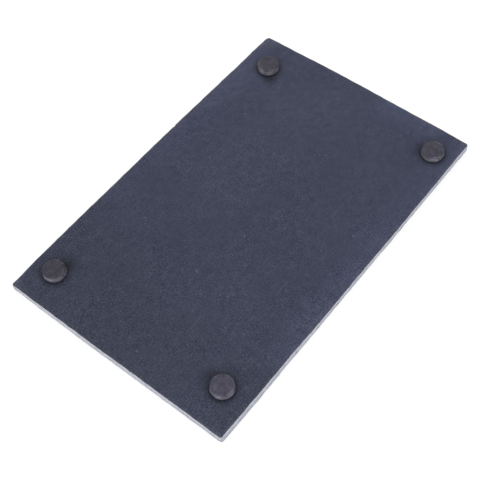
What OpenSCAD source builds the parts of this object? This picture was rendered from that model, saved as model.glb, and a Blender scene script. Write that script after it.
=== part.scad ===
// Stone serving tray: a slate slab with hand-dressed edges on four stick-on rubber feet.
// Millimetres, +Z up. The origin is on the table, under the middle of the tray.
// The serving face is on top, and the feet reach down to the table.

/* [Slab] */
// Length of the slab, over its proudest points
slab_l = 200; // [120:1:400]
// Width of the slab, over its proudest points
slab_w = 130; // [90:1:300]
// Thickness of the slab
slab_t = 5; // [4.5:0.1:12]
// How far the hand-cut sides wander in from a true rectangle
side_wander = 1; // [0:0.1:3]
// How far the longest corner wear reaches along a side
corner_wear = 8; // [1:0.5:12]

/* [Dressed edge] */
// Distance between blows along the underside
under_pitch = 8; // [6:0.5:14]
// Radius of the hollow that a blow on the underside leaves
under_blow_r = 75; // [30:1:150]
// How far a blow bites in from the side on the underside
under_bite = 0.4; // [0.2:0.05:0.6]
// How far up the side a blow on the underside reaches
under_drop = 1.7; // [1:0.1:1.9]
// Distance between blows along the serving face
serve_pitch = 9; // [7:0.5:14]
// Radius of the hollow that a blow on the serving face leaves
serve_blow_r = 100; // [30:1:150]
// How far a blow bites in from the side on the serving face
serve_bite = 0.6; // [0.3:0.05:1]
// How far down the side a blow on the serving face reaches
serve_drop = 1.6; // [1:0.1:1.9]

/* [Feet] */
// Diameter of a foot where it is stuck on
foot_d = 11.7; // [8:0.1:20]
// Height of a foot
foot_h = 3; // [2:0.1:8]
// How much narrower a foot is at the floor, across its diameter
foot_taper = 0.5; // [0:0.1:1]
// Radius on the floor rim of a foot
foot_rim_r = 0.6; // [0.1:0.1:1]
// Distance from the end of the slab to the middle of a foot
foot_inset_x = 17.5; // [12:0.5:40]
// Distance from the long side of the slab to the middle of a foot
foot_inset_y = 13.5; // [12:0.5:40]
// How far a foot that is stuck on by eye can miss its place
foot_drift = 2; // [0:0.1:4]

/* [Adhesive] */
// Thickness of the adhesive disc between a foot and the slab
glue_t = 0.2; // [0.1:0.05:0.5]
// How far the adhesive disc stays back from the edge of its foot
glue_margin = 0.1; // [0:0.05:0.5]

/* [Hidden] */

// Facets round a foot and round the hollow of a blow
foot_fn = 96;
blow_fn = 96;
// Steps in the floor rim of a foot, and between the ends of a worn corner
rim_steps = 6;
corner_steps = 4;

// Heights of the two faces of the slab
under_z = foot_h + glue_t;
serve_z = under_z + slab_t;

// Inward wander of each side at equal steps, as shares of side_wander. The sides run
// anticlockwise from above: front, right, back and left.
side_wander_shares = [
    [0.85, 0.23, 0.12, 0.06, 0, 0.05, 0.14, 0.09, 0.08, 0.06, 0.13, 0.31, 0.4, 0.58, 0.84, 0.8, 1],
    [0.88, 0.66, 0.42, 0.12, 0.04, 0, 0.22, 0.42, 0.36, 0.5, 1],
    [0.61, 0.47, 0.3, 0.21, 0.27, 0.1, 0.07, 0.17, 0.13, 0.07, 0, 0.02, 0.32, 0.2, 0.22, 0.27, 0.4],
    [0, 0.2, 0.09, 0.15, 0.17, 0.09, 0.02, 0.14, 0.16, 0.22, 0.22]
];
// Reach of the wear before and after the corner that each side starts from, as shares of
// corner_wear: front left, front right, back right and back left.
corner_wear_shares = [[0.4, 0.33], [1, 0.45], [0.55, 0.35], [0.4, 0.3]];

// Swing of the blows about their mean size, and of their places about an even spacing
blow_size_share = 0.06;
blow_place_share = 0.1;
// Turns that make neighbouring blows differ
size_turn = 137.5;
place_turn = 222.5;

// Drift of each foot, as shares of foot_drift: front left, front right, back left, back right
foot_drift_shares = [[0.25, -0.25], [-0.8, 1], [1, -0.85], [0.5, 0.55]];

// The corner that each side starts from, the way it runs and its length
side_from = [[-1, -1], [1, -1], [1, 1], [-1, 1]];
side_run = [[1, 0], [0, 1], [-1, 0], [0, -1]];
function side_len(k) = k % 2 == 0 ? slab_l : slab_w;
function side_out(k) = [side_run[k][1], -side_run[k][0]];
function side_in(k, s) =
    let (shares = side_wander_shares[k],
         at = s / side_len(k) * (len(shares) - 1),
         i = min(floor(at), len(shares) - 2),
         share = shares[i] + (shares[i + 1] - shares[i]) * (at - i))
    side_wander * share;

// Point on side k, s along it from its first corner
function side_at(k, s) =
    [side_from[k][0] * slab_l / 2, side_from[k][1] * slab_w / 2]
    + side_run[k] * s - side_out(k) * side_in(k, s);

// Length of the wear at the start and at the end of side k
function wear_start(k) = corner_wear * corner_wear_shares[k][1];
function wear_end(k) = corner_wear * corner_wear_shares[(k + 1) % 4][0];

// Points of side k between its worn corners, one at each step of its shares
function side_points(k) =
    let (steps = len(side_wander_shares[k]) - 1,
         first = wear_start(k),
         last = side_len(k) - wear_end(k))
    [for (i = [0:steps]) side_at(k, first + (last - first) * i / steps)];

// Points of the worn corner at the end of side k: a parabola that leaves one side along
// its run and joins the next one along its own
function corner_points(k) =
    let (next = (k + 1) % 4,
         a = side_at(k, side_len(k) - wear_end(k)),
         b = side_at(next, wear_start(next)),
         tip = k % 2 == 0 ? [b[0], a[1]] : [a[0], b[1]])
    [for (i = [1:corner_steps - 1])
        let (u = i / corner_steps) a * pow(1 - u, 2) + tip * 2 * u * (1 - u) + b * pow(u, 2)];

module slab_outline() {
    polygon([for (k = [0:3]) each concat(side_points(k), corner_points(k))]);
}

// Hollow that one blow leaves on an arris, with the face on top. It bites in by bite on
// the face and reaches down the side by drop, so the middle of its ball lies on the
// outward normal of the chord between those two.
module blow(ball_r, bite, drop) {
    chord = norm([bite, drop]);
    stand = sqrt(pow(ball_r, 2) - pow(chord / 2, 2));
    translate([stand * drop / chord - bite / 2, 0, stand * bite / chord - drop / 2])
        sphere(r = ball_r, $fn = blow_fn);
}

// Blows along every side on the face at height z, which is the top one or the underside
module dressed_arris(z, top, pitch, ball_r, bite, drop) {
    for (k = [0:3]) {
        count = ceil(side_len(k) / pitch);
        for (i = [0:count - 1]) {
            step = side_len(k) / count;
            s = step * (i + 1 / 2 + blow_place_share * sin(place_turn * i));
            size = 1 + blow_size_share * sin(size_turn * (i + k));
            at = side_at(k, s);
            translate([at[0], at[1], z])
                rotate([0, 0, (k - 1) * 90])
                    mirror([0, 0, top ? 0 : 1])
                        blow(ball_r, bite * size, drop * size);
        }
    }
}

module slate_slab() {
    color("#454859")
        difference() {
            difference() {
                translate([0, 0, under_z]) linear_extrude(slab_t) slab_outline();
                dressed_arris(under_z, false, under_pitch, under_blow_r, under_bite, under_drop);
            }
            dressed_arris(serve_z, true, serve_pitch, serve_blow_r, serve_bite, serve_drop);
        }
}

// Middle of foot i, from its inset and its drift
function foot_at(i) =
    let (sx = i % 2 == 0 ? -1 : 1, sy = i < 2 ? -1 : 1)
    [sx * (slab_l / 2 - foot_inset_x), sy * (slab_w / 2 - foot_inset_y)]
    + foot_drift * foot_drift_shares[i];

// A foot punched from sheet rubber: a wall that narrows to the floor, and a rounded rim there
module foot(i) {
    tip_r = (foot_d - foot_taper) / 2;
    rim = [for (j = [0:rim_steps])
        let (a = 90 * j / rim_steps)
        [tip_r - foot_rim_r * (1 - sin(a)), foot_rim_r * (1 - cos(a))]];
    at = foot_at(i);
    color("#4a484e")
        translate([at[0], at[1], 0])
            rotate_extrude($fn = foot_fn)
                polygon(concat([[0, 0]], rim, [[foot_d / 2, foot_h], [0, foot_h]]));
}

// The double-sided disc that holds a foot to the underside
module adhesive(i) {
    at = foot_at(i);
    color("#3d3d42")
        translate([at[0], at[1], foot_h])
            cylinder(d = foot_d - 2 * glue_margin, h = glue_t, $fn = foot_fn);
}

slate_slab();
foot(0);  // foot_front_left
foot(1);  // foot_front_right
foot(2);  // foot_back_left
foot(3);  // foot_back_right
adhesive(0);  // adhesive_front_left
adhesive(1);  // adhesive_front_right
adhesive(2);  // adhesive_back_left
adhesive(3);  // adhesive_back_right
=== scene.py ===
# Slate serving tray: the finished stone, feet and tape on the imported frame, and their stage.
import math
from functools import partial, reduce

import bpy
import numpy as np
from mathutils import Matrix, Vector


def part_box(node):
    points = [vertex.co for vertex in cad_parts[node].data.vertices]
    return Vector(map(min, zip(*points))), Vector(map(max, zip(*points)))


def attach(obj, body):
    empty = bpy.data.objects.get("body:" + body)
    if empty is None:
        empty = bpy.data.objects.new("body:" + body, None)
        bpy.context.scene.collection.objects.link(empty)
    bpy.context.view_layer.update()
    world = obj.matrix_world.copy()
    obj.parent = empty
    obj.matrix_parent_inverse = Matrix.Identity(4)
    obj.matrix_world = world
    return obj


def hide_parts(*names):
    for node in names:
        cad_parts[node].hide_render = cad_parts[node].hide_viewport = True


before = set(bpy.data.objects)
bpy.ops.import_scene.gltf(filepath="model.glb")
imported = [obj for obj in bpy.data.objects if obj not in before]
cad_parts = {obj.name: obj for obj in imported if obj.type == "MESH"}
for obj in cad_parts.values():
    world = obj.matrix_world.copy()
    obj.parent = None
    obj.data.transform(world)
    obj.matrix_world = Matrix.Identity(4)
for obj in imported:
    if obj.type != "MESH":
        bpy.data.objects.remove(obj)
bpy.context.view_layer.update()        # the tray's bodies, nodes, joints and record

bl_info = {
    "name": "Slate serving tray",
    "version": (1, 0, 0),
    "blender": (4, 5, 0),
    "location": "3D View > Sidebar > Tray",
    "description": "Makes a slate serving tray with dressed edges, its feet and its stage",
    "category": "Add Mesh",
}

# Each foot: how light its rubber is, the ways to the side of its wall with the most painted light
# and to the patch of painted shadow and smear on the stone beside it, in degrees from +X, and the
# share of the light that this patch takes away
FEET = {
    "front_left": (1.03, 185, 20, 0.5),
    "front_right": (0.97, 175, 135, 0.7),
    "back_left": (1.7, 180, 278, 0.36),
    "back_right": (1.2, 80, 240, 0.2),
}
SLAB_LOW, SLAB_HIGH = (np.array(corner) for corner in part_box("slate_slab"))
SLAB_SIZE = SLAB_HIGH - SLAB_LOW
UNDER_Z, SERVE_Z = SLAB_LOW[2], SLAB_HIGH[2]

# Inward wander of each side at equal steps, as shares of side_wander. The sides are numbered
# from 0, anticlockwise from above: front, right, back and left.
SIDE_WANDER_SHARES = (
    (0.85, 0.23, 0.12, 0.06, 0, 0.05, 0.14, 0.09, 0.08, 0.06, 0.13, 0.31, 0.4, 0.58, 0.84, 0.8, 1),
    (0.88, 0.66, 0.42, 0.12, 0.04, 0, 0.22, 0.42, 0.36, 0.5, 1),
    (0.61, 0.47, 0.3, 0.21, 0.27, 0.1, 0.07, 0.17, 0.13, 0.07, 0, 0.02, 0.32, 0.2, 0.22, 0.27, 0.4),
    (0, 0.2, 0.09, 0.15, 0.17, 0.09, 0.02, 0.14, 0.16, 0.22, 0.22),
)
# Reach of the wear before and after the corner that each side starts from, as shares of
# corner_wear
CORNER_WEAR_SHARES = ((0.4, 0.33), (1, 0.45), (0.55, 0.35), (0.4, 0.3))
# Slow swing of the size of the blows on the serving face at equal steps along each side, as
# shares of their mean size. The photograph hides the front and the right side, which have none.
SERVE_SIZE_SHARES = (
    (0, 0),
    (0, 0),
    (0.1, 0.45, 0.45, 0.35, 0.3, 0.4, -0.15, -0.55, -0.65),
    (0, -0.15, -0.2, -0.2, -0.35, -0.25, -0.3, -0.2, -0.1, 0.1, 0.8),
)
# Swing of the blows about their mean size and place, and the turns that make them differ
BLOW_SIZE_SHARE = 0.06
BLOW_PLACE_SHARE = 0.1
SIZE_TURN = math.radians(137.5)
PLACE_TURN = math.radians(222.5)
# The corner that each side starts from, and the way that it runs
SIDE_FROM = np.array([[-1, -1], [1, -1], [1, 1], [-1, 1]])
SIDE_RUN = np.array([[1, 0], [0, 1], [-1, 0], [0, -1]])
# Rows of the mesh on the flat rim of a face, as shares of the way in from its arris
RIM_ROW_SHARES = (0.06, 0.16, 0.32, 0.55, 0.8)
# Stations of the rim for each cell of a face
FINE = 2
# Points along a side between its worn corners, and along half of a worn corner
RUN_POINTS = 400
CORNER_POINTS = 24
# Distance from a corner over which the rim's stations lean towards it, in widths of the rim
LEAN = 4
# Slack that keeps a whole number of pitches from being rounded up
ROUNDING = 1e-6
# The smallest chip's size as a share of the largest's, the range of a chip's bite as a share of
# the largest bite of its size, and the range of its drop as a share of its bite
SMALLEST_CHIP = 0.25
CHIP_BITE_SHARES = (0.6, 1)
CHIP_DROP_SHARES = (0.8, 2.4)
# Random values in the lattice of the stone's noise
LATTICE = 256
# Cells of the noise on the sides: the wobble of the layers, the ledges (metres along a side,
# layers up it), and the fine and the coarse broken grain
WOBBLE_CELL = 0.012
LEDGE_CELL = (0.007, 0.007, 1.7)
FINE_CELL = 0.0011
COARSE_CELL = 0.0042
# Cell and share of each scale of a face's relief, and the band round a foot where it dies away
RELIEF_SCALES = ((0.024, 0.5), (0.0075, 0.3), (0.0028, 0.2))
SEAT_BAND = 0.003

# Stations round a foot or a disc of tape, and the turn to each
STATIONS = 128
STATION_TURN = np.linspace(0, 2 * math.pi, STATIONS, endpoint=False)
# Cells of the rubber's uneven surface, which dies away towards the tape and the foot's axis
RUBBER_CELLS = (0.0026, 0.0009)
SEAT_FADE = 0.0004
MIDDLE_FADE = 0.002
# How much painted light and wear a foot's paler wall has all round, and how much more or less to
# its two sides
WALL_LIGHT_MEAN = 0.95
WALL_LIGHT_SWING = 0.3
# How far the tape's edge draws in halfway up, as a share of its thickness, and the cell of its
# wander
TAPE_WAIST = 0.15
TAPE_CELL = 0.0016
# Seeds of the first foot and the first disc of tape
FOOT_SEED = 40
TAPE_SEED = 60

# Stretches where stacking has rubbed the faces paler: the side, the start and stop in x or y,
# and how pale it is
RUBBED_STRETCHES = (
    (0, -0.035, 0.03, 0.45),
    (0, 0.035, 0.09, 1.0),
    (1, 0.012, 0.05, 1.15),
    (2, -0.06, 0.01, 1.1),
    (2, 0.01, 0.095, 0.7),
    (3, 0.03, 0.055, 0.35),
)
# Where such a stretch fades out, inwards from the side and to each side of its ends
RUBBED_DEPTH = (0.001, 0.017)
STRETCH_FADE = 0.006
# How much lighter the stone is where it is rubbed, and along its arrises
RUBBED_GAIN = 0.31
ARRIS_GAIN = 0.08
# Distances past a side, below zero on the face, between which the knocks on an arris begin
ARRIS_BAND = (-0.0025, -0.0005)
# Way and offset of the scratches of each run
SCRATCH_RUNS = ((0.5, 0.0), (2.1, 0.31), (-0.6, 0.67))
# How far the light flecks, which are painted mica glints, and the scratches, bruises and knocks
# each go towards the flecks' colour
LIGHT_SHARES = (0.5, 0.11, 0.3, 0.32)
# Distance from a foot's middle to that of the patch of painted shadow and smear beside it, its
# radius, and the share of the light that painted contact shade takes away round a foot and right
# against it
SHADOW_SMEAR_OUT = 0.0078
SHADOW_SMEAR_RADIUS = 0.0065
WIDE_CONTACT_SHADE = 0.48
TIGHT_CONTACT_SHADE = 0.26
# Half the height of the band of painted shade along the crease on the sides and of its darkest
# part, and how dark that is
CREASE_BAND_HALF = 0.0003
CREASE_SHADE_CORE = 0.00005
CREASE_SHADE_DARK = 0.45
# How far dust hides the rubber at most
DUST_SHARE = 0.25

# Place of the photograph's camera, the way it looks and the way that is up in its picture
CAMERA_PLACE = (-0.21779, 0.19738, -0.41676)
CAMERA_AHEAD = (0.40272, -0.37728, 0.83395)
CAMERA_UP = (0.67097, -0.49803, -0.54933)
# Each lamp: the way to it from the tray, its distance, its size and its strength
LAMPS = (
    ("under_key", (0.7, -0.5, -1), 0.5, 0.35, 0.3),
    ("under_left", (-1, 0.1, -0.3), 0.8, 0.5, 0.55),
    ("under_right", (-0.1, 1, -0.3), 0.8, 0.5, 0.55),
    ("top_key", (-0.4, -0.5, 1), 0.8, 0.6, 0.42),
    ("top_low", (0.7, -0.6, 0.45), 0.8, 0.5, 0.2),
)
WHITE = (1.0, 1.0, 1.0, 1.0)
# White of the floor in full light, and how far the lamps light it
FLOOR_WHITE = 1.05
FLOOR_LIGHT = 0.95
# Half the floor's width, its gap from the tray, and where it fades to plain white
FLOOR_REACH = 4.0
FLOOR_GAP = 0.0001
FLOOR_FADE = (0.16, 0.36)


def length(name, description, default):
    """A size that the sidebar shows in the scene's units."""
    return bpy.props.FloatProperty(
        name=name, description=description, default=default, min=0, unit="LENGTH", precision=5
    )


def colour(name, description, default):
    """A surface colour, in linear red, green and blue."""
    return bpy.props.FloatVectorProperty(
        name=name, description=description, default=default, subtype="COLOR", min=0, max=1
    )


def level(name, description, default):
    """A plain number from 0 up."""
    return bpy.props.FloatProperty(name=name, description=description, default=default, min=0)


class SlabSettings(bpy.types.PropertyGroup):
    """Sizes and colours of the stone."""

    side_wander: length("Side wander", "How far the sides wander in from a rectangle", 0.001)
    corner_wear: length("Corner wear", "How far the longest corner wear reaches", 0.008)
    under_pitch: length("Underside pitch", "Distance between blows", 0.008)
    under_blow: length("Underside hollow", "Radius of a blow's hollow", 0.075)
    under_bite: length("Underside bite", "How far a blow bites in from the side", 0.0004)
    under_drop: length("Underside drop", "How far a blow reaches up the side", 0.0017)
    serve_pitch: length("Serving pitch", "Distance between blows", 0.009)
    serve_blow: length("Serving hollow", "Radius of a blow's hollow", 0.1)
    serve_bite: length("Serving bite", "How far a blow bites in from the side", 0.0006)
    serve_drop: length("Serving drop", "How far a blow reaches down the side", 0.0016)
    chip_pitch: length("Chip pitch", "Mean distance between small chips", 0.0026)
    chip_radius: length("Chip radius", "Radius of the largest chip's hollow", 0.0024)
    chip_bite: length("Chip bite", "How far the largest chip bites in", 0.00018)
    nick_along: length("Nick place", "Distance from the front left corner", 0.12)
    nick_radius: length("Nick radius", "Radius of the nick's hollow", 0.0024)
    nick_bite: length("Nick bite", "How far the nick bites in", 0.00062)
    arris_radius: length("Arris radius", "Radius that handling leaves on an arris", 0.00014)
    ledge: length("Ledge", "Depth of the ledges between split layers", 0.00011)
    layer: length("Layer", "Mean thickness of a split layer", 0.00062)
    fracture: length("Fracture", "Depth of the broken grain on the sides", 0.00007)
    relief: length("Relief", "Depth of the undulations of a face", 0.00011)
    rim_width: length("Rim width", "Width of the finer mesh round each face", 0.004)
    cell: length("Cell", "Size of a mesh cell on a face", 0.00109)
    row: length("Row", "Height of a mesh row on the sides", 0.00024)
    seed: bpy.props.IntProperty(name="Seed", description="Starts the chips and noise", default=7)
    stone_colour: colour("Stone", "Colour of the honed faces", (0.0402, 0.0452, 0.078))
    # Painted shade: the stone darker and less blue towards the left end
    shaded_stone_colour: colour("Dull stone", "The same towards the left end", (0.0383, 0.0438, 0.071))
    speckle_colour: colour("Speckle", "How far the grain lightens it", (0.043, 0.045, 0.058))
    arris_colour: colour("Arris", "The faces along their arrises", (0.048, 0.049, 0.068))
    # The flecks that this colours are painted mica glints
    fleck_colour: colour("Flecks", "Light flecks and scratches", (0.17, 0.18, 0.24))
    broken_colour: colour("Broken stone", "Crushed stone on the sides", (0.43, 0.445, 0.505))
    layer_colour: colour("Split layers", "Clean split stone on the sides", (0.22, 0.23, 0.27))


class FootSettings(bpy.types.PropertyGroup):
    """Sizes and colour of the four feet."""

    taper: length("Taper", "How much narrower a foot is at the floor", 0.0005)
    rim_radius: length("Rim radius", "Radius on the floor rim", 0.0006)
    waist: length("Waist", "How far the punched wall draws in halfway up", 0.00007)
    relief: length("Relief", "Depth of the uneven rubber surface", 0.00004)
    lip_radius: length("Lip radius", "Radius of the edge against the tape", 0.00008)
    rubber_colour: colour("Rubber", "Colour of the rubber", (0.033, 0.0305, 0.0465))
    # The wall's paler colour is partly wear and partly painted light
    worn_and_lit_colour: colour("Worn rubber", "Colour of the punched wall", (0.125, 0.120, 0.145))
    dust_colour: colour("Dust", "Colour of the dust on the rubber", (0.16, 0.155, 0.17))


class TapeSettings(bpy.types.PropertyGroup):
    """Sizes and colour of the adhesive discs."""

    ripple: length("Ripple", "How far the edge of the tape wanders in", 0.00006)
    tape_colour: colour("Tape", "Colour of the tape's edge", (0.05, 0.05, 0.055))


class StageSettings(bpy.types.PropertyGroup):
    """Camera, lamps and floors."""

    focal_length: level("Focal length", "Lens in mm, on a sensor 36 mm wide", 78.62)
    sky: level("Sky", "Level of the light from all round", 0.52)
    floor_shade: level("Floor shade", "Share of the floor's white that shadows take away", 0.85)
    back_floor_shade: level("Back floor shade", "The same for the floor behind the tray", 0.3)


def ease(t):
    """Smooth step from 0 to 1: t squared times 3 minus 2t, with t held between 0 and 1."""
    t = np.clip(t, 0, 1)
    return t * t * (3 - 2 * t)


def stone_noise(points, cell, seed):
    """Smooth noise from -1 to 1 at points in space.

    Each corner of a lattice of cells holds a random value, looked up through a shuffled
    table, and a point blends the values at its eight corners by smooth steps."""
    draw = np.random.default_rng(seed)
    shuffled = draw.permutation(LATTICE)
    values = draw.uniform(-1, 1, LATTICE)
    place = points / cell
    base = np.floor(place).astype(int)
    part = ease(place - base)
    total = np.zeros(points.shape[:-1])
    for step in np.ndindex(2, 2, 2):
        found = 0
        for axis in range(3):
            found = shuffled[(found + base[..., axis] + step[axis]) % LATTICE]
        total += values[found] * np.where(step, part, 1 - part).prod(axis=-1)
    return total


def build_mesh(name, points, quads, triangles):
    """A smooth mesh of points, quads and triangles, each given as a list of arrays."""
    points, quads, triangles = (np.concatenate(parts) for parts in (points, quads, triangles))
    corners = np.concatenate([quads.ravel(), triangles.ravel()])
    sizes = np.repeat([4, 3], [len(quads), len(triangles)])
    mesh = bpy.data.meshes.new(name)
    mesh.vertices.add(len(points))
    mesh.vertices.foreach_set("co", points.ravel())
    mesh.loops.add(len(corners))
    mesh.loops.foreach_set("vertex_index", corners)
    mesh.polygons.add(len(sizes))
    mesh.polygons.foreach_set("loop_start", np.cumsum(sizes) - sizes)
    mesh.update(calc_edges=True)
    if mesh.validate():
        raise RuntimeError("the mesh of " + name + " had faults")
    mesh.shade_smooth()
    return mesh


def add_value(mesh, name, values):
    """Gives every point of a mesh a value that a material can read."""
    mesh.attributes.new(name, "FLOAT", "POINT").data.foreach_set("value", values.ravel())


def round_box(node):
    """Middle, radius, bottom and top of the box of a round node."""
    low, high = (np.array(corner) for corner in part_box(node))
    return (low + high) / 2, (high - low)[0] / 2, low[2], high[2]


def add_object(name, data):
    """A new object in the scene."""
    thing = bpy.data.objects.new(name, data)
    bpy.context.scene.collection.objects.link(thing)
    return thing


def place_piece(mesh, material, node):
    """Puts a finished mesh into the scene in place of a node of the frame."""
    mesh.materials.append(material)
    piece = add_object(mesh.name, mesh)
    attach(piece, "root")
    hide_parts(node)


def ring_quads(rings, stations):
    """Quads between neighbouring closed rings of stations, which face out where the rings
    run anticlockwise and each lies above the one before it."""
    ring = np.arange(rings - 1)[:, None] * stations
    here = np.arange(stations)[None]
    on = (here + 1) % stations
    corners = [ring + here, ring + on, ring + stations + on, ring + stations + here]
    return np.stack(corners, axis=-1).reshape(-1, 4)


# The slab. In each function, made holds the settings of the piece that it makes.

def side_size(k):
    """Length of side k of the slab's box."""
    return SLAB_SIZE[k % 2]


def side_wander(made, k, along):
    """Inset of side k at a distance along it: straight lines between its shares."""
    shares = SIDE_WANDER_SHARES[k]
    steps = np.linspace(0, side_size(k), len(shares))
    return made.side_wander * np.interp(along, steps, shares)


def side_point(k, along, inset):
    """Points in plan at a distance along side k of the slab's box and an inset from it."""
    middle = (SLAB_LOW[:2] + SLAB_HIGH[:2]) / 2
    start = middle + SIDE_FROM[k] * SLAB_SIZE[:2] / 2
    run = SIDE_RUN[k]
    inward = np.array([-run[1], run[0]])
    along, inset = np.broadcast_arrays(along, inset)
    return start + along[..., None] * run + inset[..., None] * inward


def worn_corner(reach, inset, far_reach, far_inset):
    """(distance from the box's corner, inset) from where the wear ends on a side to the
    middle of the worn corner: half of a parabola that leaves each side along its run, at
    its reach from the corner."""
    u = np.linspace(0, 0.5, CORNER_POINTS)
    along = reach * (1 - u) ** 2 + far_inset * (1 - (1 - u) ** 2)
    return along, inset * (1 - u**2) + far_reach * u**2


def side_path(made, k):
    """(distance along side k, inset) of the outline, from the middle of one worn corner to
    the middle of the next."""
    size = side_size(k)
    before, after = (k - 1) % 4, (k + 1) % 4
    reaches = made.corner_wear * np.array(CORNER_WEAR_SHARES)
    far_start, start = reaches[k]
    stop, far_stop = reaches[after]
    run = np.linspace(start, size - stop, RUN_POINTS)[1:-1]
    inset = partial(side_wander, made)
    far_inset = inset(before, side_size(before) - far_start)
    first = worn_corner(start, inset(k, start), far_start, far_inset)
    last = worn_corner(stop, inset(k, size - stop), far_stop, inset(after, far_stop))
    along = np.concatenate([first[0][::-1], run, size - last[0]])
    return along, np.concatenate([first[1][::-1], inset(k, run), last[1]])


def rim_stations(made, cells):
    """Matching points on the outline and on the edge of the face grid, round the slab.

    The inner ones lie at equal steps on a rectangle. Each outer one lies straight out from
    its partner, and near a corner leans towards it, so that the rectangle's corner is
    joined to the worn one's middle."""
    outer, inner = [], []
    lean = LEAN * made.rim_width
    for k in range(4):
        size = side_size(k)
        path, insets = side_path(made, k)
        steps = cells[k % 2] * FINE
        along = np.linspace(made.rim_width, size - made.rim_width, steps + 1)[:-1]
        from_start = along - made.rim_width
        from_end = size - made.rim_width - along
        out = along - (made.rim_width - path[0]) * (1 - ease(from_start / lean))
        out += (made.rim_width - size + path[-1]) * (1 - ease(from_end / lean))
        outer.append(side_point(k, out, np.interp(out, path, insets)))
        inner.append(side_point(k, along, made.rim_width))
    return np.concatenate(outer), np.concatenate(inner)


def lifted(plan, height):
    """Points over places in plan, each at its own height or all at one."""
    height = np.broadcast_to(height, plan.shape[:-1])
    return np.concatenate([plan, height[..., None]], axis=-1)


def hollow_centres(made, k, along, radius, bite, drop, top):
    """Middles of the ball-shaped hollows that blows leave on an arris of side k.

    A hollow cuts the face by bite and the side by drop, so its middle lies on the outward
    normal of the chord between those two, at the root of the radius squared less half the
    chord squared."""
    chord = np.hypot(bite, drop)
    stand = np.sqrt(radius**2 - (chord / 2) ** 2)
    out = stand * drop / chord - bite / 2
    off = stand * bite / chord - drop / 2
    plan = side_point(k, along, side_wander(made, k, along) - out)
    return lifted(plan, SERVE_Z + off if top else UNDER_Z - off)


def row_of_blows(made, top):
    """Middles and radii of the blows that dress an arris, at the same places as in the solid:
    evenly spaced, with a size and a place that swing by fixed turns. On the serving face
    their size also swings slowly along a side."""
    face = "serve_" if top else "under_"
    sizes = ("pitch", "blow", "bite", "drop")
    pitch, radius, bite, drop = (getattr(made, face + size) for size in sizes)
    centres = []
    for k in range(4):
        count = math.ceil(side_size(k) / pitch - ROUNDING)
        step = side_size(k) / count
        i = np.arange(count)
        along = step * (i + 0.5 + BLOW_PLACE_SHARE * np.sin(PLACE_TURN * i))
        size = 1 + BLOW_SIZE_SHARE * np.sin(SIZE_TURN * (i + k))
        if top:
            shares = SERVE_SIZE_SHARES[k]
            size += np.interp(along, np.linspace(0, side_size(k), len(shares)), shares)
        centres.append(hollow_centres(made, k, along, radius, bite * size, drop * size, top))
    centres = np.concatenate(centres)
    return centres, np.full(len(centres), radius)


def scattered_chips(made, top):
    """Middles and radii of the small chips that use leaves on an arris, at random places.
    A chip's size is a random share squared, so that most are small."""
    draw = np.random.default_rng(made.seed + top)
    centres, radii = [], []
    for k in range(4):
        count = round(side_size(k) / made.chip_pitch)
        size = SMALLEST_CHIP + (1 - SMALLEST_CHIP) * draw.uniform(0, 1, count) ** 2
        radius = made.chip_radius * size
        bite = made.chip_bite * size * draw.uniform(*CHIP_BITE_SHARES, count)
        drop = bite * draw.uniform(*CHIP_DROP_SHARES, count)
        along = draw.uniform(0, side_size(k), count)
        centres.append(hollow_centres(made, k, along, radius, bite, drop, top))
        radii.append(radius)
    return np.concatenate(centres), np.concatenate(radii)


def single_nick(made):
    """Middle and radius of the one larger nick, on the underside's front arris. It reaches up
    the side twice as far as it bites in."""
    along, bite = np.array([made.nick_along]), np.array([made.nick_bite])
    centre = hollow_centres(made, 0, along, made.nick_radius, bite, 2 * bite, False)
    return centre, [made.nick_radius]


def cut_depth(origins, inward, centres, radii):
    """How deep the hollows cut along a ray that goes in from each origin on the outline.

    The ray leaves a ball round c of radius r at the far root of |o + t d - c| = r, and the
    ball counts where the origin o lies inside it."""
    gap = centres[None] - origins[:, None]
    ahead = (gap * inward[:, None]).sum(axis=2)
    room = radii**2 - (gap**2).sum(axis=2)
    depth = ahead + np.sqrt(np.maximum(ahead**2 + room, 0))
    return np.where(room > 0, depth, 0).max(axis=1)


def section_rows(made):
    """(height above the underside, extra depth, share of the way from face to side) of each
    row of the sides: a quarter round at each arris and even steps between them."""
    thick = SLAB_SIZE[2]
    arris = np.radians([0, 30, 60])
    heights = made.arris_radius * (1 - np.cos(arris))
    count = round((thick - 2 * made.arris_radius) / made.row)
    wall = np.linspace(made.arris_radius, thick - made.arris_radius, count + 1)
    rise = np.concatenate([heights, wall, thick - heights[::-1]])
    turn = np.concatenate([arris, np.full(count + 1, math.pi / 2), arris[::-1]])
    return rise, made.arris_radius * (1 - np.sin(turn)), turn / (math.pi / 2)


def broken_grain(made, points):
    """Depth of the split layers and the broken grain on the sides.

    A layer's number comes from the height and a slow wobble, each layer stands back by
    its own slow noise along the side, and noise of two scales roughens it all."""
    wobble = stone_noise(points, WOBBLE_CELL, made.seed + 2)
    number = np.floor(points[..., 2] / made.layer + wobble)
    layer = points.copy()
    layer[..., 2] = number
    ledge = stone_noise(layer / LEDGE_CELL, 1, made.seed + 3)
    fine = stone_noise(points, FINE_CELL, made.seed + 4)
    coarse = stone_noise(points, COARSE_CELL, made.seed + 5)
    return made.ledge * (1 + ledge) / 2 + made.fracture * (2 + fine + coarse) / 4


def face_relief(made, plan, top):
    """Depth of a face below its true plane: noise of each scale, which dies away round the
    feet on the underside, where the tape needs a flat seat."""
    points = lifted(plan, 0)
    depth = np.zeros(plan.shape[:-1])
    seed = made.seed + 10 * (1 + top)
    for i, (cell, share) in enumerate(RELIEF_SCALES):
        depth += share * (1 + stone_noise(points, cell, seed + i)) / 2
    if not top:
        for corner in FEET:
            middle, radius = round_box("foot_" + corner)[:2]
            away = np.linalg.norm(plan - middle[:2], axis=-1) - radius
            depth *= ease(away / SEAT_BAND)
    return made.relief * depth


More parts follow.
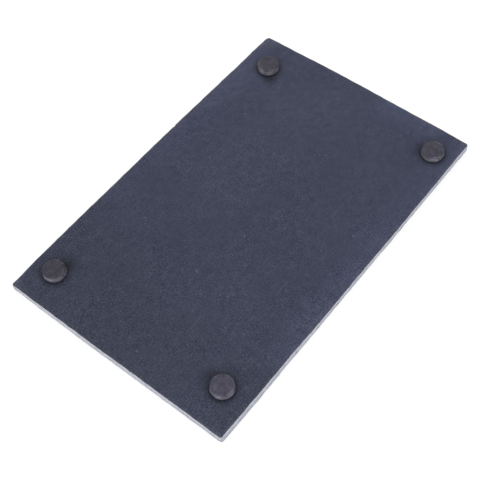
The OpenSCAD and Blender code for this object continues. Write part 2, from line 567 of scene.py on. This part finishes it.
def on_face(made, plan, top):
    """Points of a face at places in plan: its true plane less the relief."""
    relief = face_relief(made, plan, top)
    return lifted(plan, SERVE_Z - relief if top else UNDER_Z + relief)


def slab_rim(made, outer, inner):
    """Points of the slab's rim, ring by ring from the underside's grid, over the sides, to
    the serving face's grid, with each point's value for the material: 0 on a face, a half
    at its arris and 1 on the sides. A point lies in from the outline by the depth that the
    hollows, the arris's round and the broken grain give it."""
    span = inner - outer
    reach = np.linalg.norm(span, axis=1)
    inward = span / reach[:, None]
    hollows = [make(made, top) for make in (row_of_blows, scattered_chips) for top in (False, True)]
    hollows.append(single_nick(made))
    centres, radii = (np.concatenate(part) for part in zip(*hollows))
    rise, extra, on_side = section_rows(made)
    depths = []
    for height, more in zip(rise, extra):
        origins = lifted(outer, UNDER_Z + height)
        cut = cut_depth(origins, lifted(inward, 0), centres, radii)
        depths.append(cut + more + broken_grain(made, origins))
    depths = np.array(depths)
    plans = outer + inward * depths[..., None]
    lowest = on_face(made, plans[0], False)[:, 2]
    highest = on_face(made, plans[-1], True)[:, 2]
    heights = lowest + (highest - lowest) * (rise / SLAB_SIZE[2])[:, None]

    shares = np.array(RIM_ROW_SHARES)
    under, serve = (
        outer + inward * (depth + (reach - depth) * shares[:, None])[..., None]
        for depth in (depths[0], depths[-1])
    )
    under, serve = on_face(made, under, False)[::-1], on_face(made, serve, True)
    value = np.concatenate([(1 - shares[::-1]) / 2, 0.5 + on_side / 2, (1 - shares) / 2])
    return np.concatenate([under, lifted(plans, heights), serve]), np.repeat(value, len(outer))


def face_grid(made, cells, top):
    """Points of a face inside its rim, on an even grid, its quads, which face out, and the
    loop of points round its edge."""
    low, high = SLAB_LOW[:2] + made.rim_width, SLAB_HIGH[:2] - made.rim_width
    x, y = (np.linspace(low[i], high[i], cells[i] + 1) for i in (0, 1))
    points = on_face(made, np.stack(np.meshgrid(x, y), axis=-1), top).reshape(-1, 3)
    index = np.arange(len(points)).reshape(len(y), len(x))
    corners = [index[:-1, :-1], index[:-1, 1:], index[1:, 1:], index[1:, :-1]]
    quads = np.stack(corners if top else corners[::-1], axis=-1).reshape(-1, 4)
    loop = np.concatenate([index[0, :-1], index[:-1, -1], index[-1, :0:-1], index[:0:-1, 0]])
    return points, quads, loop


def joining_triangles(fine, coarse, inside_first):
    """Triangles that face out between a ring of fine stations and one of half as many, three
    to each coarse step."""
    start, middle, stop = fine[0::FINE], fine[1::FINE], np.roll(fine, -FINE)[0::FINE]
    here, on = coarse, np.roll(coarse, -1)
    if inside_first:
        fans = [(here, on, middle), (on, stop, middle), (here, middle, start)]
    else:
        fans = [(start, middle, here), (middle, on, here), (middle, stop, on)]
    return np.concatenate([np.stack(fan, axis=-1) for fan in fans])


def slab_mesh(made):
    """The whole slab as one closed surface: the rim and the two face grids."""
    inside = SLAB_SIZE[:2] - 2 * made.rim_width
    cells = np.round(inside / made.cell).astype(int)
    outer, inner = rim_stations(made, cells)
    rim, value = slab_rim(made, outer, inner)
    stations, rings = len(outer), len(rim)
    rim = rim.reshape(-1, 3)
    under, under_quads, under_loop = face_grid(made, cells, False)
    serve, serve_quads, serve_loop = face_grid(made, cells, True)
    under_first, serve_first = len(rim), len(rim) + len(under)
    first_ring = np.arange(stations)
    last_ring = first_ring + (rings - 1) * stations
    triangles = [
        joining_triangles(first_ring, under_loop + under_first, True),
        joining_triangles(last_ring, serve_loop + serve_first, False),
    ]
    quads = [ring_quads(rings, stations), under_quads + under_first, serve_quads + serve_first]
    mesh = build_mesh("dressed_slate", [rim, under, serve], quads, triangles)
    add_value(mesh, "edge", np.concatenate([value, np.zeros(len(under) + len(serve))]))
    return mesh


# Feet and tape

def revolved(name, middle, radii, heights, shape):
    """A closed surface of rings round an upright axis, from its lowest middle point to its
    highest one. shape takes the points of all rings and returns them reshaped."""
    out = np.stack([np.cos(STATION_TURN), np.sin(STATION_TURN)], axis=-1)
    rings = shape(lifted(middle[:2] + radii[:, None, None] * out, heights[:, None]))
    poles = np.array([rings[0].mean(axis=0), rings[-1].mean(axis=0)])
    bottom = len(rings) * STATIONS
    here = np.arange(STATIONS)
    on = (here + 1) % STATIONS
    last = bottom - STATIONS
    triangles = [
        np.stack([on, here, np.full(STATIONS, bottom)], axis=-1),
        np.stack([last + here, last + on, np.full(STATIONS, bottom + 1)], axis=-1),
    ]
    quads = [ring_quads(len(rings), STATIONS)]
    return build_mesh(name, [rings.reshape(-1, 3), poles], quads, triangles)


def foot_profile(made, radius, low, high):
    """Rings of a foot: its floor face, a quarter round, the wall, which widens upwards and
    draws in halfway by half a sine wave, a small lip and the face under the tape."""
    tip = radius - made.taper / 2
    turn = np.radians(np.linspace(0, 90, 9))
    floor_r = np.linspace(0, tip - made.rim_radius, 15)[1:-1]
    rim_r = tip - made.rim_radius * (1 - np.sin(turn))
    rim_z = low + made.rim_radius * (1 - np.cos(turn))
    up = np.linspace(0, 1, 13)[1:]
    wall_top = high - made.lip_radius
    wall_z = rim_z[-1] + (wall_top - rim_z[-1]) * up
    wall_r = tip + (radius - tip) * up - made.waist * np.sin(math.pi * up)
    lip_r = radius - made.lip_radius * (1 - np.cos(turn[2::2]))
    lip_z = wall_top + made.lip_radius * np.sin(turn[2::2])
    top_r = np.linspace(lip_r[-1], 0, 6)[1:-1]
    radii = np.concatenate([floor_r, rim_r, wall_r, lip_r, top_r])
    flat_low, flat_high = np.full(len(floor_r), low), np.full(len(top_r), high)
    return radii, np.concatenate([flat_low, rim_z, wall_z, lip_z, flat_high])


def foot_mesh(made, corner, seed):
    """A foot of punched rubber, with an uneven surface that only goes inwards."""
    middle, radius, bottom, top = round_box("foot_" + corner)
    radii, heights = foot_profile(made, radius, bottom, top)

    def uneven(points):
        """Draws the wall in and lifts the floor face by noise of two scales."""
        coarse, fine = (stone_noise(points, RUBBER_CELLS[i], seed + i) for i in (0, 1))
        plan = points[..., :2] - middle[:2]
        away = np.linalg.norm(plan, axis=-1)
        below = ease((top - points[..., 2]) / SEAT_FADE)
        pull = made.relief * ((2 + coarse + fine) / 4) * below
        points = points.copy()
        points[..., :2] -= plan * (pull * ease(away / MIDDLE_FADE) / away)[..., None]
        points[..., 2] += pull * (1 - ease((points[..., 2] - bottom) / made.rim_radius))
        return points

    mesh = revolved("rubber_foot_" + corner, middle, radii, heights, uneven)
    flat = radius - made.taper / 2 - made.rim_radius
    from_flat = ease((radii - flat) / made.rim_radius)
    wall = np.where(heights < top - made.lip_radius, from_flat, 1)
    add_value(mesh, "wall", np.concatenate([np.repeat(wall, STATIONS), [0, 1]]))
    lightness, lit_side_way = FEET[corner][:2]
    add_value(mesh, "shade", np.full(len(mesh.vertices), lightness))
    # Painted light: the wall is made lighter towards one side of each foot
    scuff = WALL_LIGHT_MEAN + WALL_LIGHT_SWING * np.cos(STATION_TURN - math.radians(lit_side_way))
    add_value(mesh, "scuff", np.concatenate([np.tile(scuff, len(radii)), [1, 1]]))
    return mesh


def tape_mesh(made, corner, seed):
    """A disc of tape with a cut edge that wanders in by noise, and that draws in halfway up
    by half a sine wave."""
    middle, radius, bottom, top = round_box("adhesive_" + corner)
    up = np.linspace(0, 1, 7)
    edge_r = radius - TAPE_WAIST * (top - bottom) * np.sin(math.pi * up)
    flat_r = np.linspace(0, radius, 8)[1:-1]
    radii = np.concatenate([flat_r, edge_r, flat_r[::-1]])
    flat_low, flat_high = np.full(len(flat_r), bottom), np.full(len(flat_r), top)
    heights = np.concatenate([flat_low, bottom + (top - bottom) * up, flat_high])

    def cut(points):
        """Moves points towards the axis by noise round the disc."""
        plan = points[..., :2] - middle[:2]
        share = np.linalg.norm(plan, axis=-1) / radius
        pull = made.ripple * (1 + stone_noise(points, TAPE_CELL, seed)) / 2 * share / radius
        points = points.copy()
        points[..., :2] -= plan * pull[..., None]
        return points

    return revolved("tape_disc_" + corner, middle, radii, heights, cut)


# Materials

def is_wide(value):
    """True for a colour or a vector, as a shader socket or as plain numbers."""
    if isinstance(value, Term):
        return value.socket.type in {"RGBA", "VECTOR"}
    return not isinstance(value, (int, float))


class Term:
    """A shader socket that Python's operators work on, each through the node it stands for."""

    def __init__(self, tree, socket=None):
        self.tree = tree
        self.socket = socket

    def node(self, kind, settings=(), sockets=(), output=0):
        """Adds a node, of the type ShaderNode and kind: its settings first, then the values
        or links of its sockets. Returns one of its outputs."""
        added = self.tree.nodes.new("ShaderNode" + kind)
        for name, value in dict(settings).items():
            setattr(added, name, value)
        for name, value in dict(sockets).items():
            if isinstance(value, Term):
                self.tree.links.new(value.socket, added.inputs[name])
            else:
                added.inputs[name].default_value = value
        return Term(self.tree, added.outputs[output] if added.outputs else None)

    def maths(self, operation, first, second):
        """first and second through a Math node, or a Vector Math node if one is a vector."""
        kind, sockets = "VectorMath", {0: first, 1: second}
        if not (is_wide(first) or is_wide(second)):
            kind = "Math"
        elif operation == "MULTIPLY" and not (is_wide(first) and is_wide(second)):
            vector, scale = (first, second) if is_wide(first) else (second, first)
            operation, sockets = "SCALE", {"Vector": vector, "Scale": scale}
        return self.node(kind, {"operation": operation}, sockets)

    def __add__(self, other):
        return self.maths("ADD", self, other)

    def __radd__(self, other):
        return self.maths("ADD", other, self)

    def __sub__(self, other):
        return self.maths("SUBTRACT", self, other)

    def __rsub__(self, other):
        return self.maths("SUBTRACT", other, self)

    def __mul__(self, other):
        return self.maths("MULTIPLY", self, other)

    def __rmul__(self, other):
        return self.maths("MULTIPLY", other, self)

    def most(self, other):
        """The larger of two values."""
        return self.maths("MAXIMUM", self, other)

    def least(self, other):
        """The smaller of two values."""
        return self.maths("MINIMUM", self, other)

    def step(self, low, high):
        """0 below low and 1 above high, with a smooth step between them."""
        sockets = {"Value": self, "From Min": low, "From Max": high}
        return self.node("MapRange", {"interpolation_type": "SMOOTHSTEP"}, sockets)

    def blend(self, first, second):
        """A colour that goes from the first to the second as this value goes from 0 to 1."""
        colours = [given if isinstance(given, Term) else (*given, 1.0) for given in (first, second)]
        sockets = {0: self, 6: colours[0], 7: colours[1]}
        return self.node("Mix", {"data_type": "RGBA"}, sockets, 2)

    def noise(self, scale, detail=2.0, rough=0.5, distortion=0.0):
        """Noise round 0.5 at this place, with scale in repeats to the metre."""
        sockets = {"Vector": self, "Scale": scale, "Detail": detail, "Roughness": rough}
        sockets["Distortion"] = distortion
        return self.node("TexNoise", (), sockets)

    def turned(self, scale, move=(0, 0, 0), angle=0):
        """This place scaled, turned about Z and moved by a Mapping node."""
        sockets = {"Vector": self, "Location": move, "Rotation": (0, 0, angle), "Scale": scale}
        return self.node("Mapping", (), sockets)

    def axis(self, name):
        """The X, Y or Z of this place."""
        return self.node("SeparateXYZ", (), {"Vector": self}, name)

    def distance(self, point):
        """How far this place is from a point."""
        sockets = {0: self, 1: point}
        return self.node("VectorMath", {"operation": "DISTANCE"}, sockets, "Value")

    def value(self, name):
        """The value that add_value gave each point of the mesh under this name."""
        return self.node("Attribute", {"attribute_name": name}, (), "Fac")


def empty_tree(owner):
    """The node tree of a material or a world, without its nodes."""
    owner.use_nodes = True
    owner.node_tree.nodes.clear()
    return Term(owner.node_tree)


def start_material(name):
    """A new material, and its place on the object in metres."""
    material = bpy.data.materials.new(name)
    return material, empty_tree(material).node("TexCoord", output="Object")


def finish_material(place, shown, rough, relief, depth, specular=0.5):
    """A Principled shader, with a bump of the relief times a depth, as the surface."""
    bump = place.node("Bump", (), {"Height": relief, "Distance": depth, "Strength": 1.0})
    sockets = {"Base Color": shown, "Roughness": rough, "Specular IOR Level": specular}
    surface = place.node("BsdfPrincipled", (), dict(sockets, Normal=bump))
    place.node("OutputMaterial", (), {"Surface": surface})


def scratches(place, angle, offset):
    """Fine straight scratches one way: noise drawn out 15 times along its run, with only its
    peaks kept, and broken up by slow noise."""
    drawn = place.turned((60, 900, 900), (offset, offset, 0), angle)
    lines = drawn.noise(1.0, 1.0, 0.4, 0.15).step(0.66, 0.74)
    patches = place.turned((1, 1, 1), (offset, 0, 0), angle).noise(70).step(0.5, 0.62)
    return lines * patches


def contact_shade_round_feet(place, height):
    """Share of the light that painted contact shade takes away on the underside round the feet:
    most of it right against a foot, some of it a little way off, and a soft patch to one side that
    is partly painted shadow and partly smeared dirt."""
    flat = place.turned((1, 1, 0))
    gaps, shadows_and_smears = [], []
    for corner, (*_, shadow_smear_way, dark) in FEET.items():
        (x, y, _), radius = round_box("foot_" + corner)[:2]
        gaps.append(flat.distance((x, y, 0)))
        turn = math.radians(shadow_smear_way)
        beside = (x + SHADOW_SMEAR_OUT * math.cos(turn), y + SHADOW_SMEAR_OUT * math.sin(turn), 0)
        # A soft dark patch beside each foot: partly painted shadow and partly smeared dirt
        shadows_and_smears.append((1 - flat.distance(beside).step(0.0, SHADOW_SMEAR_RADIUS)) * dark)
    nearest = reduce(Term.least, gaps)
    shadow_and_smear = reduce(Term.most, shadows_and_smears)
    uneven = nearest + (flat.noise(420, 3.0) - 0.5) * 0.0016
    wide = 1 - uneven.step(radius - 0.0005, radius + 0.0038)
    tight = 1 - nearest.step(radius, radius + 0.0012)
    # soil here is painted contact shade round the feet
    soil = wide * WIDE_CONTACT_SHADE + tight * TIGHT_CONTACT_SHADE
    under = 1 - height.step(UNDER_Z + 0.0005, UNDER_Z + 0.001)
    return (soil + shadow_and_smear * (1 - soil)) * under


def handled_rim(place, x, y):
    """Two shares on the faces: how far stacking has rubbed the stone paler along stretches of
    its sides, and how far knocks have crushed it into pale specks over the corners, most of
    all the front right one, at the back left tip and along the right end of the back."""
    half_x, half_y = (float(size) / 2 for size in SLAB_SIZE[:2])
    inward = (y + half_y, half_x - x, half_y - y, x + half_x)
    stretches = []
    for k, start, stop, share in RUBBED_STRETCHES:
        along = y if k % 2 else x
        begun, ended = (along.step(end - STRETCH_FADE, end + STRETCH_FADE) for end in (start, stop))
        beside = 1 - inward[k].step(*RUBBED_DEPTH)
        stretches.append(beside * (begun * (1 - ended)) * share)
    rubbed = reduce(Term.most, stretches) * (0.7 + place.noise(14) * 0.6)

    past_end, past_side = x.most(-1 * x) - half_x, y.most(-1 * y) - half_y
    corners = (past_side + past_end + (x - y) * 0.02).step(-0.014, -0.004)
    corners = corners * (x - y).step(-0.14, -0.05)
    tip = past_side.most(past_end).step(*ARRIS_BAND) * (y - x).step(0.15, 0.158)
    back_arris = past_side.step(*ARRIS_BAND) * x.step(0.055, 0.08) * y.step(0.0, 0.03)
    knocked = corners.most(tip).most(back_arris)
    return rubbed, knocked * place.noise(1000, 3.0, 0.7).step(0.35, 0.65)


def slate_face(made, place, edge, mottle, grain):
    """Colour of the faces, the share of it that flecks, which are painted mica glints, scratches,
    bruises and knocks make light, and the scratches. Clouds, mottle and grain vary the stone,
    and painted shade makes it darker and less blue to the left."""
    x, y, height = (place.axis(name) for name in "XYZ")
    cloud = place.noise(20, 4.0, 0.6)
    # Painted shade: the stone goes darker and less blue towards the left end
    left_shade = 1 - (x + (cloud - 0.5) * 0.1).step(-0.095, 0.02)
    stone = left_shade.blend(made.stone_colour, made.shaded_stone_colour)
    stone = edge.step(0.3, 0.5).blend(stone, made.arris_colour)
    patches = 0.75 + place.noise(45).step(0.35, 0.65) * 0.5
    peaks = (grain * grain - 0.26) * (3.0 - x * 4 - x.step(0.02, 0.07) * 1.2)
    speckle = (cloud - 0.5) * 0.5 + ((mottle - 0.5) * 0.8 + peaks) * patches
    rubbed, knocked = handled_rim(place, x, y)
    # The painted contact shade and shadow round the feet darken the stone here
    lit = (1 - contact_shade_round_feet(place, height)) * (1 + rubbed * RUBBED_GAIN)
    lit = lit * (1 + edge.step(0.05, 0.45) * ARRIS_GAIN)
    honed = (stone + speckle * made.speckle_colour) * lit
    # The light flecks are painted glints of mica
    painted_mica_glints = place.noise(820, 2.0, 0.6).step(0.64, 0.76) * place.noise(70, 3.0).step(0.4, 0.6)
    marks = reduce(Term.most, [scratches(place, *run) for run in SCRATCH_RUNS])
    bruises = edge.step(0.3, 0.5) * place.noise(700, 3.0, 0.7).step(0.6, 0.72)
    kinds = zip((painted_mica_glints, marks, bruises, knocked), LIGHT_SHARES)
    light = reduce(Term.most, [kind * share for kind, share in kinds])
    return light.blend(honed, made.fleck_colour), light, marks


def slate_side(made, place, grain):
    """Colour of the sides, and how high their broken stone stands: thin split layers and
    crushed stone, with painted shade in the crease where the underside's blows end."""
    layers = place.turned((170, 170, 2300)).noise(1.0, 4.0, 0.6)
    crushed = place.noise(520, 4.0, 0.65)
    crease = UNDER_Z + made.under_drop
    above = place.axis("Z") - (place.turned((1, 1, 0)).noise(60) - 0.5) * 0.0006
    wall = above.step(crease - CREASE_BAND_HALF, crease + CREASE_BAND_HALF)
    past_crease_shade = above.step(crease + CREASE_SHADE_CORE, crease + CREASE_BAND_HALF)
    crease_shade = above.step(crease - CREASE_BAND_HALF, crease - CREASE_SHADE_CORE) * (1 - past_crease_shade)
    pale = (layers * 0.6 + crushed * 0.4 - wall * 0.05).step(0.34, 0.52)
    side = pale.blend(made.layer_colour, made.broken_colour) * (0.86 + 0.28 * grain)
    # Painted shade darkens the crease where the underside's blows end
    side = side * (1 - crease_shade * place.noise(90).step(0.35, 0.6) * CREASE_SHADE_DARK)
    return side, crushed + layers


def slate_material(made):
    """Honed slate with light flecks that are painted mica glints, fine scratches, and pale crushed
    stone on its sides.
    """
    material, place = start_material("slate")
    edge = place.value("edge")
    mottle = place.noise(260, 3.0, 0.6)
    grain = place.noise(1250, 3.0, 0.65)
    face, light, marks = slate_face(made, place, edge, mottle, grain)
    side, broken = slate_side(made, place, grain)
    shown = edge.step(0.56, 0.8).blend(face, side)
    rough = 0.72 + (grain - 0.5) * 0.3 - light * 0.15
    relief = grain * 0.5 + mottle * 0.5 - marks * 0.3 + edge.step(0.5, 0.8) * broken * 1.5
    finish_material(place, shown, rough, relief, depth=0.00006, specular=0.22)
    return material


def rubber_material(made):
    """Matt dark rubber with a mottled, dusty floor face, a paler wall that is partly scuffed and
    partly painted light, and a painted highlight on the rim.
    """
    material, place = start_material("foot_rubber")
    wall, shade, scuff = (place.value(name) for name in ("wall", "shade", "scuff"))
    height = place.axis("Z")
    mottle = place.noise(330, 3.0, 0.6)
    grain = place.noise(1900, 2.0, 0.6)
    dust = (place.noise(300, 4.0, 0.7) - 0.5) + (grain - 0.5) * 0.6
    # The wall takes the paler colour, partly wear and partly painted light, from just above the
    # floor face, and painted shade dims it towards the tray
    worn_and_lit_share = wall * height.step(0.0001, 0.001) * (1 - height.step(0.0015, 0.003) * 0.6)
    # A thin painted highlight along the rounding of the floor rim
    rim = wall.step(0.02, 0.2) * (1 - wall.step(0.5, 0.9)) * place.noise(150).step(0.42, 0.6)
    worn_and_lit_share = (worn_and_lit_share * (0.65 + 0.6 * mottle)).most(rim * 0.8).least(1.0)
    # The per-foot factor on the wall colour paints more light on one side of the wall
    worn_and_lit = worn_and_lit_share.blend(shade * made.rubber_colour, scuff * made.worn_and_lit_colour)
    worn_and_lit = worn_and_lit * (2.4 * mottle - 0.2)
    shown = (dust.step(0.0, 0.35) * DUST_SHARE).blend(worn_and_lit, made.dust_colour)
    rough = 0.6 + (grain - 0.5) * 0.3 - wall * 0.15
    relief = grain * 0.6 + mottle * 0.4
    finish_material(place, shown, rough, relief, depth=0.00005, specular=0.25)
    return material


def tape_material(made):
    """The black edge of double-sided tape, a little soiled."""
    material, place = start_material("adhesive_film")
    soil = place.noise(900, 3.0, 0.6)
    shown = (0.6 + 0.8 * soil) * made.tape_colour
    finish_material(place, shown, 0.5 + 0.2 * soil, soil, depth=0.00002)
    return material


# Stage

def place_camera(made):
    """The photograph's camera, under the tray, with its roll."""
    data = bpy.data.cameras.new("camera")
    data.sensor_width = 36
    data.lens = made.focal_length
    data.clip_start = 0.01
    camera = add_object("camera", data)
    bpy.context.scene.camera = camera
    ahead = Vector(CAMERA_AHEAD).normalized()
    right = ahead.cross(Vector(CAMERA_UP)).normalized()
    turn = Matrix((right, right.cross(ahead), -ahead)).transposed().to_4x4()
    camera.matrix_world = Matrix.Translation(Vector(CAMERA_PLACE)) @ turn


def place_lamp(name, toward, distance, size, strength):
    """A square area lamp that faces the tray, and lights a surface square to it by a
    strength: its power is the strength times the squares of pi and of its distance."""
    data = bpy.data.lights.new(name, "AREA")
    data.shape = "SQUARE"
    data.size = size
    data.energy = strength * (math.pi * distance) ** 2
    lamp = add_object(name, data)
    direction = Vector(toward).normalized()
    lamp.location = direction * distance
    lamp.rotation_mode = "QUATERNION"
    lamp.rotation_quaternion = direction.to_track_quat("Z", "Y")


def seen_directly(start):
    """1 for camera, glossy and transmission rays."""
    rays = ("Is Camera Ray", "Is Glossy Ray", "Is Transmission Ray")
    return reduce(Term.most, [start.node("LightPath", output=ray) for ray in rays])


def place_sky(made):
    """A white world that cameras and gloss see at full strength, and that lights the tray
    at the sky's level."""
    world = bpy.data.worlds.new("sky")
    bpy.context.scene.world = world
    start = empty_tree(world)
    light = start.node("Background", (), {"Color": WHITE, "Strength": made.sky})
    shown = start.node("Background", (), {"Color": WHITE, "Strength": 1.0})
    mixed = start.node("MixShader", (), {0: seen_directly(start), 1: light, 2: shown})
    start.node("OutputWorld", (), {"Surface": mixed})


def place_floor(name, height, up, shade):
    """A white floor that shows from one side. Near the tray, shadows take away a share of
    its white, and its own glow makes up the rest."""
    material = bpy.data.materials.new(name)
    start = empty_tree(material)
    lit = start.node("BsdfDiffuse", (), {"Color": (shade, shade, shade, 1.0)})
    strength = seen_directly(start) * (FLOOR_WHITE - shade * FLOOR_LIGHT)
    glow = start.node("Emission", (), {"Color": WHITE, "Strength": strength})
    near = start.node("AddShader", (), {0: lit, 1: glow})
    far = start.node("Emission", (), {"Color": WHITE, "Strength": 1.0})
    away = start.node("TexCoord", output="Object").distance((0, 0, 0))
    front = start.node("MixShader", (), {0: away.step(*FLOOR_FADE), 1: near, 2: far})
    clear = start.node("BsdfTransparent")
    behind = start.node("NewGeometry", output="Backfacing")
    shown = start.node("MixShader", (), {0: behind, 1: front, 2: clear})
    start.node("OutputMaterial", (), {"Surface": shown})
    quad = np.array([[0, 1, 2, 3] if up else [3, 2, 1, 0]])
    corners = lifted(SIDE_FROM * FLOOR_REACH, height)
    mesh = build_mesh(name, [corners], [quad], [np.zeros((0, 3), int)])
    mesh.materials.append(material)
    floor = add_object(name, mesh)
    floor.visible_diffuse = floor.visible_glossy = floor.visible_shadow = False


class TRAY_OT_stage(bpy.types.Operator):
    """Make the camera, the lamps, the white world and the two floors"""

    bl_idname = "tray.stage"
    bl_label = "Stage"

    def execute(self, context):
        made = context.scene.tray_stage
        place_camera(made)
        for lamp in LAMPS:
            place_lamp(*lamp)
        place_sky(made)
        place_floor("table", -FLOOR_GAP, True, made.floor_shade)
        place_floor("back_table", SERVE_Z + FLOOR_GAP, False, made.back_floor_shade)
        context.scene.view_settings.view_transform = "Standard"
        return {"FINISHED"}


class TRAY_OT_slab(bpy.types.Operator):
    """Make the slate slab with its dressed edges"""

    bl_idname = "tray.slab"
    bl_label = "Slab"

    def execute(self, context):
        made = context.scene.tray_slab
        place_piece(slab_mesh(made), slate_material(made), "slate_slab")
        return {"FINISHED"}


class TRAY_OT_feet(bpy.types.Operator):
    """Make the four rubber feet"""

    bl_idname = "tray.feet"
    bl_label = "Feet"

    def execute(self, context):
        made = context.scene.tray_feet
        rubber = rubber_material(made)
        for i, corner in enumerate(FEET):
            place_piece(foot_mesh(made, corner, FOOT_SEED + 2 * i), rubber, "foot_" + corner)
        return {"FINISHED"}


class TRAY_OT_tape(bpy.types.Operator):
    """Make the four discs of tape that hold the feet"""

    bl_idname = "tray.tape"
    bl_label = "Tape"

    def execute(self, context):
        made = context.scene.tray_tape
        film = tape_material(made)
        for i, corner in enumerate(FEET):
            place_piece(tape_mesh(made, corner, TAPE_SEED + i), film, "adhesive_" + corner)
        return {"FINISHED"}


# The order in which the pieces are made: each operator, and the name and class of its settings
STEPS = (
    (TRAY_OT_stage, "tray_stage", StageSettings),
    (TRAY_OT_slab, "tray_slab", SlabSettings),
    (TRAY_OT_feet, "tray_feet", FootSettings),
    (TRAY_OT_tape, "tray_tape", TapeSettings),
)


class TRAY_PT_maker(bpy.types.Panel):
    """The tray's pieces and their settings"""

    bl_idname = "TRAY_PT_maker"
    bl_label = "Slate serving tray"
    bl_space_type = "VIEW_3D"
    bl_region_type = "UI"
    bl_category = "Tray"

    def draw(self, context):
        for operator, name, group in STEPS:
            box = self.layout.box()
            box.operator(operator.bl_idname)
            for setting in group.__annotations__:
                box.prop(getattr(context.scene, name), setting)


def register():
    for operator, name, group in STEPS:
        bpy.utils.register_class(group)
        bpy.utils.register_class(operator)
        setattr(bpy.types.Scene, name, bpy.props.PointerProperty(type=group))
    bpy.utils.register_class(TRAY_PT_maker)


def unregister():
    bpy.utils.unregister_class(TRAY_PT_maker)
    for operator, name, group in STEPS:
        delattr(bpy.types.Scene, name)
        bpy.utils.unregister_class(operator)
        bpy.utils.unregister_class(group)


def main():
    """Makes the stage and every piece."""
    register()
    bpy.ops.tray.stage()
    bpy.ops.tray.slab()
    bpy.ops.tray.feet()
    bpy.ops.tray.tape()


if __name__ == "__main__":
    main()
